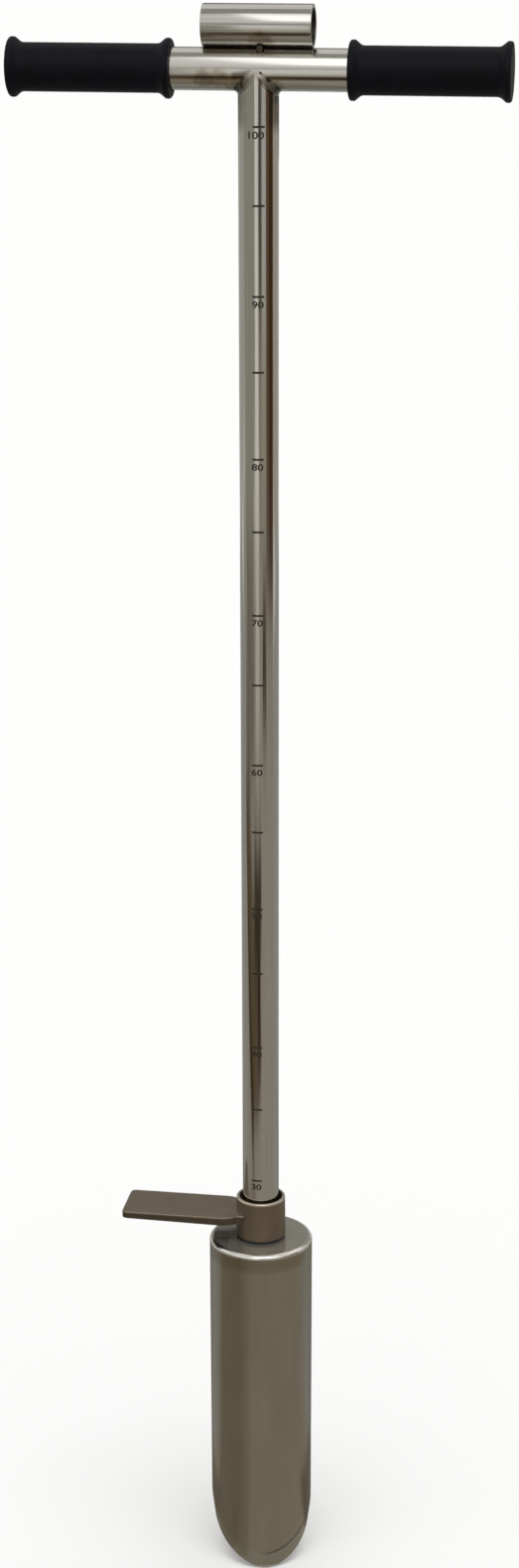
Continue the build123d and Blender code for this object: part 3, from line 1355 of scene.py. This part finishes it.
@dataclass
class SamplingHead:
    """Cap, seam and half-open barrel with its ground mouth."""

    top: float = 0.253
    radius: float = 0.036
    bore: float = 0.034
    cap_thickness: float = 0.0025
    cap_skirt: float = 0.009
    cap_fillet: float = 0.003
    cap_inner_fillet: float = 0.001
    shaft_hole: float = 0.0126
    hole_edge: float = 0.0003
    seam_height: float = 0.0016
    seam_proud: float = 0.00001
    seam_edge: float = 0.00003
    mouth_rise: float = 0.03
    mouth_splay: float = math.radians(9.0)
    edge_radius: float = 0.0344
    bevel_height: float = 0.0135
    barrel_rings: tuple[float, ...] = (0.03, 0.045, 0.06, 0.08, 0.105, 0.135, 0.17, 0.205, 0.225)
    opening_foot: float = -0.02
    opening_top: float = 0.203
    opening_corner: float = 0.03
    front_turn: float = math.radians(15.0)
    opening_turn: float = math.radians(7.5)
    edge_ease: float = 0.00018
    cap_finish: HeadSteel = HeadSteel(
        "stainless sheet pressed",
        tones=("#a7a399", "#bbb7ad"),
        grain=Pattern.streaks(Axis.Z, 0.006, 0.006, 0.65),
        roughness=(0.04, 0.18),
        metallic=0.78,
    )
    rim_finish: HeadSteel = HeadSteel(
        "stainless rim buffed",
        tones=("#c6c2b9", "#efece6"),
        grain=Pattern.streaks(Axis.Z, 0.004, 0.004, 0.65),
        roughness=(0.12, 0.26),
        relief=(0.4, 0.0004),
    )
    bore_finish: HeadSteel = HeadSteel("stainless sheet as rolled", roughness=(0.19, 0.33))
    bevel_finish: HeadSteel = HeadSteel(
        "stainless edge ground bright",
        tones=("#949184", "#aaa89c"),
        grain=Pattern.streaks(Axis.Z, 0.004, 0.0009, 0.65),
    )

    @property
    def finish(self) -> HeadSteel:
        """Ground satin, stained along the seam, with a dark line on the right along the bevel's upper edge.
        """
        bearings = [math.radians(degrees) for degrees in range(-60, 61, 10)]
        round_marks = [
            Stain((self.radius * math.sin(way), -self.radius * math.cos(way), 0.2455), 0.008, "#8d8473")
            for way in bearings
        ]
        # A dark line on the right, just above the bevel.
        bevel_line = ScoredLine((0.0687, -0.6537, 0.7537), 0.0329, 0.0012)
        return HeadSteel("stainless sheet ground satin", marks=(*round_marks, bevel_line))

    @property
    def seam_top(self) -> float:
        """Height of the cap's lower edge."""
        return self.top - self.cap_skirt

    @property
    def barrel_top(self) -> float:
        """Height of the barrel's upper edge."""
        return self.seam_top - self.seam_height

    @property
    def mouth_normals(self) -> list[Vector]:
        """Normals of the two planes that hold the cutting edge."""
        tilt = math.atan2(self.mouth_rise, self.edge_radius)
        slope = Vector((0.0, -math.sin(tilt), math.cos(tilt)))
        turns = (self.front_turn - self.mouth_splay, self.front_turn + self.mouth_splay)
        return [Matrix.Rotation(turn, 3, "Z") @ slope for turn in turns]

    @property
    def mouth_level(self) -> float:
        """Height at which both planes cross the barrel's axis."""
        return self.mouth_rise * math.cos(self.mouth_splay)

    def build_cap(self) -> None:
        """Pressed cap with a rounded rim."""
        under = self.top - self.cap_thickness
        corners = [
            (under, self.shaft_hole, self.hole_edge),
            (self.top, self.shaft_hole, self.hole_edge),
            (self.top, self.radius, self.cap_fillet),
            (self.seam_top, self.radius, self.seam_edge),
            (self.seam_top, self.bore, 0.0),
            (under, self.bore, self.cap_inner_fillet),
        ]
        piece = turned("pressed_cap", rounded(corners, 10), Spindle(Axis.Z), 192)
        install(piece, self.finish, Slot.HEAD, Body.PROBE, "head_cap")

        def surface(face: bpy.types.MeshPolygon) -> int:
            """Choose the finish of a face.

            Args:
                face: the face.

            Returns:
                One for the flat top, two for the rim.
            """
            if face.center.z <= self.top - self.cap_fillet:
                return 0
            return 2 if face.center.xy.length > self.radius - self.cap_fillet else 1

        refinish(piece, [self.cap_finish, self.rim_finish], surface)

    def build_seam(self) -> None:
        """Seam weld between cap and barrel, ground almost flush."""
        rim = self.radius + self.seam_proud
        corners = [
            (self.barrel_top, self.bore, 0.0),
            (self.barrel_top, rim, self.seam_edge),
            (self.seam_top, rim, self.seam_edge),
            (self.seam_top, self.bore, 0.0),
        ]
        piece = turned("ground_seam", rounded(corners), Spindle(Axis.Z), 192)
        install(piece, self.finish, Slot.WELD, Body.PROBE, "cap_seam")

    def opening(self) -> Workpiece:
        """Make the block, with a round-shouldered top, that cuts the rear opening.

        Returns:
            The block, open for editing.
        """
        depth = 1.1 * self.radius
        height = self.opening_top - self.opening_foot
        turn = Matrix.Rotation(self.opening_turn, 3, "Z")
        block = Workpiece.add(
            "opening_block",
            bpy.ops.mesh.primitive_cube_add,
            size=1.0,
            location=turn @ Vector((0.0, depth / 2, self.opening_foot + height / 2)),
            rotation=(0.0, 0.0, self.opening_turn),
            scale=(2 * depth, depth, height),
        )
        run = turn @ Vector((0.0, 1.0, 0.0))
        block.pick(Domain.EDGE, lambda place: place.z > self.opening_top - MERGE, run)
        bpy.ops.mesh.bevel(offset=self.opening_corner, segments=24, affect="EDGES")
        return block

    def build_barrel(self) -> None:
        """Barrel: a tube with a ground mouth and its rear half cut away."""
        shoulder = Vector((0.0, 0.0, self.mouth_level + self.bevel_height))
        edge = Vector((0.0, 0.0, self.mouth_level))
        normals = self.mouth_normals

        def above(place: Vector) -> float:
            """How far a point stands clear of the bevel."""
            return min((place - shoulder).dot(normal) for normal in normals)

        def surface(face: bpy.types.MeshPolygon) -> int:
            """One for the ground bevel, two for the bore."""
            inside = face.center.xy.length < self.bore + MERGE
            return 2 if inside else int(above(face.center) < -MERGE)

        piece = Workpiece.add(
            "ground_barrel",
            bpy.ops.mesh.primitive_cylinder_add,
            vertices=240,
            radius=self.radius,
            depth=2 * self.barrel_top,
            end_fill_type="NOTHING",
        )
        for normal in normals:
            piece.slice(shoulder, normal, keep_above=True)
        piece.pick(Domain.EDGE, lambda place: above(place) < MERGE)
        piece.extrude((0.0, 0.0, -self.bevel_height))
        piece.scale((self.edge_radius / self.radius,) * 3, edge)
        piece.extrude()
        piece.scale((self.bore / self.edge_radius,) * 3, edge)
        piece.extrude()
        piece.scale((1.0, 1.0, 0.0), (0.0, 0.0, self.barrel_top))
        piece.pick(Domain.EDGE, lambda place: place.z > self.barrel_top - MERGE)
        bpy.ops.mesh.bridge_edge_loops()
        for height in self.barrel_rings:
            piece.slice((0.0, 0.0, height), UP)
        piece.close_up()
        piece.meet(self.opening(), Operation.CUT)
        piece.ease(self.edge_ease, 35)
        install(piece, self.finish, Slot.HEAD, Body.PROBE, "barrel", smooth=6)
        refinish(piece, [self.bevel_finish, self.bore_finish], surface)

    def build(self) -> None:
        """Build the head's pieces."""
        self.build_cap()
        self.build_seam()
        self.build_barrel()


@dataclass
class Pedal:
    """Cast foot pedal and the bush that it turns on."""

    collar_foot: float = 0.2546
    collar_height: float = 0.029
    bore: float = 0.01505
    rim_wall: float = 0.0019
    foot_wall: float = 0.0023
    collar_fillet: float = 0.0009
    # Height of the collar's top band that gets the painted highlight.
    rubbed_band: float = 0.0016
    reach: float = 0.096
    width: float = 0.0375
    drop: float = 0.011
    root_thickness: float = 0.006
    end_thickness: float = 0.0048
    corner: float = 0.004
    top_fillet: float = 0.0011
    edge_ease: float = 0.0005
    neck_start: float = 0.001
    neck_half_width: float = 0.01405
    shoulder: float = 0.02035
    shoulder_fillet: float = 0.006
    top_facing: float = 0.3
    under_facing: float = -0.6
    bush_foot: float = 0.2532
    bush_bore: float = 0.0128
    bush_radius: float = 0.0148
    bush_flange: float = 0.0012
    bush_flange_radius: float = 0.01655
    bush_depth: float = 0.02
    bush_bore_edge: float = 0.0002
    bush_flange_edge: float = 0.0003
    bush_top_edge: float = 0.0004
    finish: CastSteel = CastSteel("cast steel grit-blasted")
    # Paler collar rim: painted highlight.
    rubbed: CastSteel = CastSteel(
        "cast steel rubbed bright", tones=("#b3a995", "#d6cdbd"), roughness=(0.22, 0.4)
    )
    # Darker paddle sides: painted shade.
    skin: CastSteel = CastSteel("cast steel skin", tones=("#5c5346", "#6d6355"))
    # Paler paddle top: painted light.
    trodden: CastSteel = CastSteel("cast steel trodden", tones=("#786c5d", "#918474"))
    # Much darker paddle underside: painted shade.
    raw: CastSteel = CastSteel("cast steel unblasted", tones=("#28231c", "#332d25"))
    bush_finish: TurnedNylon = TurnedNylon("black nylon turned")

    @property
    def collar_top(self) -> float:
        """Height of the collar's rim."""
        return self.collar_foot + self.collar_height

    def paddle(self) -> Workpiece:
        """Make the flat paddle, which thins towards its end and has a narrow neck in the collar.

        Returns:
            The paddle, open for editing.
        """
        top = self.collar_top - self.drop
        foot = top - self.root_thickness
        half = self.width / 2
        piece = Workpiece.add(
            "paddle",
            bpy.ops.mesh.primitive_cube_add,
            size=1.0,
            location=(-(self.reach + self.neck_start) / 2, 0.0, top - self.root_thickness / 2),
            scale=(self.reach - self.neck_start, self.width, self.root_thickness),
        )
        for cut in (self.bore, self.shoulder):
            piece.slice((-cut, 0.0, top), (1.0, 0.0, 0.0))
        piece.pick(Domain.VERT, lambda place: place.x > -self.bore - MERGE)
        piece.scale((1.0, self.neck_half_width / half, 1.0), (0.0, 0.0, top))
        piece.pick(Domain.VERT, lambda place: place.x < -self.reach + MERGE and place.z < foot + MERGE)
        bpy.ops.transform.translate(value=(0.0, 0.0, self.root_thickness - self.end_thickness))
        for end, radius in ((self.reach, self.corner), (self.shoulder, self.shoulder_fillet)):
            for side in (-half, half):
                spot = Vector((-end, side))
                piece.pick(Domain.EDGE, lambda place: (place.xy - spot).length < MERGE)
                bpy.ops.mesh.bevel(offset=radius, offset_type="OFFSET", segments=8, affect="EDGES")
        bpy.ops.mesh.select_all(action="SELECT")
        bpy.ops.mesh.dissolve_limited(angle_limit=math.radians(0.5))
        piece.pick(Domain.EDGE, lambda place: place.z > top - MERGE)
        bpy.ops.mesh.bevel(offset=self.top_fillet, segments=5, affect="EDGES")
        piece.close_up()
        return piece

    def build_pedal(self) -> None:
        """Paddle and collar in one casting."""
        foot_radius = self.bore + self.foot_wall
        rim_radius = self.bore + self.rim_wall
        band = self.collar_top - self.rubbed_band
        corners = [
            (self.collar_foot, 0.0, 0.0),
            (self.collar_foot, foot_radius, self.collar_fillet),
            (band, rim_radius, 0.0),
            (self.collar_top, rim_radius, self.collar_fillet),
            (self.collar_top, 0.0, 0.0),
        ]
        piece = turned("cast_foot_pedal", rounded(corners), Spindle(Axis.Z), 160)
        piece.meet(self.paddle(), Operation.JOIN)
        bore = Workpiece.add(
            "bore_bar",
            bpy.ops.mesh.primitive_cylinder_add,
            vertices=160,
            radius=self.bore,
            depth=2 * self.collar_height,
            location=(0.0, 0.0, self.collar_foot + self.collar_height / 2),
        )
        piece.meet(bore, Operation.CUT)
        piece.ease(self.edge_ease, 40)
        install(piece, self.finish, Slot.PEDAL, Body.PEDAL, "foot_pedal", smooth=35)

        def surface(face: bpy.types.MeshPolygon) -> int:
            """Choose the finish of a face.

            Args:
                face: the face.

            Returns:
                One for the collar's rim in painted highlight; two, three and four for the paddle's edge in
                painted shade, its top in painted light and its underside in painted shade.
            """
            if face.center.z > band:
                return 1
            if face.center.xy.length <= foot_radius + MERGE:
                return 0
            if face.normal.z > self.top_facing:
                return 3
            return 4 if face.normal.z < self.under_facing else 2

        refinish(piece, [self.rubbed, self.skin, self.trodden, self.raw], surface)

    def build_bush(self) -> None:
        """Flanged bush between pedal and shaft."""
        shelf = self.bush_foot + self.bush_flange
        top = self.collar_foot + self.bush_depth
        corners = [
            (self.bush_foot, self.bush_bore, self.bush_bore_edge),
            (self.bush_foot, self.bush_flange_radius, self.bush_flange_edge),
            (shelf, self.bush_flange_radius, self.bush_flange_edge),
            (shelf, self.bush_radius, 0.0),
            (top, self.bush_radius, self.bush_top_edge),
            (top, self.bush_bore, self.bush_top_edge),
        ]
        piece = turned("turned_bush", rounded(corners, 3), Spindle(Axis.Z))
        install(piece, self.bush_finish, Slot.BUSH, Body.BUSH, "pedal_bush")

    def build(self) -> None:
        """Build the pedal's pieces."""
        self.build_pedal()
        self.build_bush()


@dataclass(frozen=True)
class Card:
    """A plain card that only reflections see.

    Attributes:
        name: the card's name.
        centre: its middle.
        size: its width and height.
        shade: its colour.
        strength: how far it outshines white paper.
        turn: its rotation.
        taper: its height at the near end, as a share of that at the far end.
        from_below: whether it is clear to what looks down on it.
    """

    name: str
    centre: Point
    size: Span
    shade: str
    strength: float = 1.0
    turn: Point = (0.0, 0.0, 0.0)
    taper: float = 1.0
    from_below: bool = False

    @classmethod
    def standing(cls, name: str, bearings: Span, distance: float, heights: Span, shade: str) -> "Card":
        """Card that stands square to the shaft.

        Args:
            name: the card's name.
            bearings: degrees to its left and right ends, from the front towards the right.
            distance: its distance from the shaft.
            heights: its lower and upper edge.
            shade: its colour.

        Returns:
            The card.
        """
        middle = math.radians(sum(bearings) / 2)
        width = 2 * distance * math.tan(math.radians(bearings[1] - bearings[0]) / 2)
        centre = (distance * math.sin(middle), -distance * math.cos(middle), sum(heights) / 2)
        return cls(name, centre, (width, heights[1] - heights[0]), shade, turn=(math.pi / 2, 0.0, middle))

    @classmethod
    def lying(
        cls, name: str, ends: tuple[Span, Span], width: float, height: float, shade: str, taper: float = 1.0
    ) -> "Card":
        """Strip of card that lies level.

        Args:
            name: the card's name.
            ends: (x, y) of its two ends.
            width: its width at the second end.
            height: its height above the floor.
            shade: its colour.
            taper: its width at the first end, as a share of that at the second.

        Returns:
            The strip.
        """
        start, stop = Vector(ends[0]), Vector(ends[1])
        run = stop - start
        centre = (*((start + stop) / 2), height)
        turn = (0.0, 0.0, math.atan2(run.y, run.x))
        return cls(name, centre, (run.length, width), shade, turn=turn, taper=taper)

    def build(self) -> None:
        """Make the card and hide it from all but reflections."""
        clear_bench()
        bpy.ops.mesh.primitive_plane_add(size=1.0, location=self.centre, rotation=self.turn)
        card = bpy.context.object
        card.name = self.name
        card.scale = (*self.size, 1.0)
        for vert in card.data.vertices:
            vert.co.y *= self.taper if vert.co.x < 0 else 1.0
        paper = empty_material(self.name)
        tree = paper.node_tree
        face = add_node(tree, "Emission", {"Color": linear(self.shade), "Strength": self.strength})
        if self.from_below:
            under = add_node(tree, "NewGeometry", out="Backfacing")
            clear = add_node(tree, "BsdfTransparent")
            face = add_node(tree, "MixShader", {0: under, 1: clear, 2: face})
        add_node(tree, "OutputMaterial", {"Surface": face})
        card.data.materials.append(paper)
        for ray in ("camera", "diffuse", "transmission", "volume_scatter", "shadow"):
            setattr(card, f"visible_{ray}", False)


@dataclass
class Studio:
    """Floor, light and camera.

    The camera stands a little to the right and looks down on the head, as the photograph does.
    The cards give the polished steel its bands.
    """

    floor_size: float = 90.0
    floor_shade: str = "#fcfcfb"
    floor_bounce: str = "#c8c8c6"
    sky_climb: Span = (0.25, 0.95)
    sky_levels: Span = (0.093, 1.09)
    key_strength: float = 1.05
    key_spread: float = math.radians(42)
    key_tilt: float = math.radians(12)
    key_azimuth: float = math.radians(10)
    camera_azimuth: float = math.radians(9.0)
    camera_distance: float = 1.9004
    camera_height: float = 1.1834
    camera_pitch: float = math.radians(23.355)
    camera_roll: float = math.radians(-0.125)
    sensor: float = 36.0
    focal_pixels: float = 3026.0
    image_size: tuple[int, int] = (523, 1581)
    principal: Span = (262.625, 1100.0)
    cards: tuple[Card, ...] = (
        Card.lying("front_mat", ((-3.7, -1.4), (3.2, -1.4)), 3.6, 0.002, "#aea89d"),
        Card.lying("rear_mat", ((-2.896, 1.156), (2.442, 1.973)), 3.0, 0.0025, "#adaeab"),
        Card.lying("back_mat", ((0.0, 0.036), (-0.08, 0.69)), 1.41, 0.003, "#8e8e8a", 0.05),
        Card.lying("left_mat", ((-0.035, -0.018), (-0.55, -0.286)), 0.69, 0.003, "#928b7c", 0.066),
        Card.lying("left_fade", ((-0.015, -0.037), (-0.301, -0.598)), 0.18, 0.0028, "#9d9687", 0.08),
        Card.lying("foot_shade", ((-0.13, 0.06), (0.13, 0.088)), 0.13, 0.004, "#7f7a6f"),
        Card.lying("far_left_mat", ((-1.42, -1.19), (-2.6, -2.19)), 2.1, 0.003, "#858177"),
        Card.lying("pale_strip", ((-0.14, -2.05), (-0.24, -3.4)), 0.85, 0.006, "#dcd8cd"),
        Card.lying("dark_mat", ((0.155, -1.207), (-1.771, -0.55)), 0.65, 0.004, "#6a5b45"),
        Card.lying("near_strip", ((0.0, -0.88), (0.02, -1.3)), 0.3, 0.005, "#3a2d1d"),
        Card.lying("near_block", ((-0.12, -1.18), (-0.16, -1.58)), 1.1, 0.006, "#33281b"),
        Card.lying("left_strip", ((-1.95, -0.33), (-0.42, -0.62)), 0.2, 0.005, "#3f3018"),
        Card.lying("far_strip", ((1.28, -1.66), (1.78, -2.3)), 0.9, 0.005, "#33281c"),
        Card.standing("far_left_card", (-170.0, -82.0), 3.3, (0.0, 1.25), "#c4c4be"),
        Card.standing("left_card", (-82.0, -14.0), 3.3, (0.0, 1.25), "#acab9f"),
        Card.standing("slit_card", (6.0, 25.0), 3.3, (0.36, 1.25), "#625f59"),
        Card.standing("slit_foot", (6.0, 25.0), 3.3, (0.0, 0.36), "#a8a295"),
        Card.standing("right_card", (25.0, 52.0), 3.3, (0.36, 1.25), "#d2ceca"),
        Card.standing("right_foot", (25.0, 52.0), 3.3, (0.0, 0.36), "#b2aca2"),
        Card.standing("tan_card", (50.0, 70.0), 2.8, (0.0, 1.25), "#6e5845"),
        Card.standing("brown_card", (67.0, 96.0), 2.75, (0.0, 1.25), "#4a3623"),
        Card.standing("far_right_card", (96.0, 160.0), 3.0, (0.0, 1.25), "#c2bdb6"),
        Card.standing("front_band", (-70.0, 60.0), 3.6, (1.42, 1.8), "#b6b6b2"),
        Card.standing("back_card", (130.0, 230.0), 2.6, (0.7, 3.0), "#989792"),
        Card("pedal_shade", (-0.0445, 0.1015, 0.305), (0.031, 0.0155), "#15120e", from_below=True),
        Card("soft_box", (0.73, -2.6, 3.2), (2.54, 3.4), "#fafcff", 2.4),
        Card("ceiling", (0.0, -0.25, 3.25), (6.0, 1.2), "#b2b1ac"),
    )

    def build_world(self) -> None:
        """Light that grows towards the zenith, and white to camera, mirror and glass rays."""
        world = bpy.data.worlds.new("studio")
        bpy.context.scene.world = world
        world.use_nodes = True
        tree = world.node_tree
        tree.nodes.clear()
        rays = add_node(tree, "LightPath").node.outputs
        shown = rays["Is Camera Ray"]
        for kind in ("Is Glossy Ray", "Is Transmission Ray"):
            shown = add_node(tree, "Math", {0: shown, 1: rays[kind]}, operation="MAXIMUM")
        heading = add_node(tree, "TexCoord", out="Generated")
        climb = add_node(tree, "SeparateXYZ", {"Vector": heading}, "Z")
        names = ("From Min", "From Max", "To Min", "To Max")
        span = dict(zip(names, self.sky_climb + self.sky_levels))
        sky = add_node(tree, "MapRange", {"Value": climb, **span})
        level = add_node(tree, "MapRange", {"Value": shown, "To Min": sky, "To Max": 1.0})
        glow = add_node(tree, "Background", {"Color": linear("#ffffff"), "Strength": level})
        add_node(tree, "OutputWorld", {"Surface": glow})

    def build_floor(self) -> None:
        """Plain pale floor that keeps the object's shadow and throws little light back up."""
        clear_bench()
        bpy.ops.mesh.primitive_plane_add(size=self.floor_size)
        floor = bpy.context.object
        floor.name = "floor"
        paint = empty_material("white floor paint")
        tree = paint.node_tree
        thrown = add_node(tree, "LightPath", out="Is Diffuse Ray")
        tones = {0: thrown, 6: linear(self.floor_shade), 7: linear(self.floor_bounce)}
        colour = add_node(tree, "Mix", tones, 2, data_type="RGBA")
        matt = {"Base Color": colour, "Roughness": 1.0, "Specular IOR Level": 0.0}
        shader = add_node(tree, "BsdfPrincipled", matt)
        add_node(tree, "OutputMaterial", {"Surface": shader})
        floor.data.materials.append(paint)

    def build_key(self) -> None:
        """Broad soft key light from overhead, a little to the front."""
        lamp = bpy.data.lights.new("key", "SUN")
        lamp.energy = self.key_strength
        lamp.angle = self.key_spread
        key = bpy.data.objects.new("key", lamp)
        key.rotation_euler = (self.key_tilt, 0.0, self.key_azimuth)
        key.visible_glossy = False
        bpy.context.scene.collection.objects.link(key)

    def build_camera(self) -> None:
        """Camera at the photograph's place."""
        lens = bpy.data.cameras.new("camera")
        width, height = self.image_size
        lens.sensor_width = self.sensor
        lens.lens = self.sensor * self.focal_pixels / height
        lens.shift_x = (width / 2 - self.principal[0]) / height
        lens.shift_y = (self.principal[1] - height / 2) / height
        lens.clip_end = 2 * self.floor_size
        camera = bpy.data.objects.new("camera", lens)
        turn = Matrix.Rotation(self.camera_azimuth, 4, "Z")
        tilt = Matrix.Rotation(math.pi / 2 - self.camera_pitch, 4, "X")
        roll = Matrix.Rotation(self.camera_roll, 4, "Z")
        spot = Matrix.Translation((0.0, -self.camera_distance, self.camera_height))
        camera.matrix_world = turn @ spot @ tilt @ roll
        bpy.context.scene.collection.objects.link(camera)
        bpy.context.scene.camera = camera

    def build(self) -> None:
        """Build the studio."""
        bpy.context.scene.view_settings.view_transform = "Standard"
        self.build_world()
        self.build_floor()
        self.build_key()
        self.build_camera()
        for card in self.cards:
            card.build()


def main() -> None:
    """Build the sampler's sub-assemblies and the studio."""
    logging.basicConfig(level=logging.INFO, format="%(name)s: %(message)s")
    for assembly in (Handle(), Shaft(), SamplingHead(), Pedal(), Studio()):
        assembly.build()
        log.info("%s done", type(assembly).__name__)


if __name__ == "__main__":
    main()
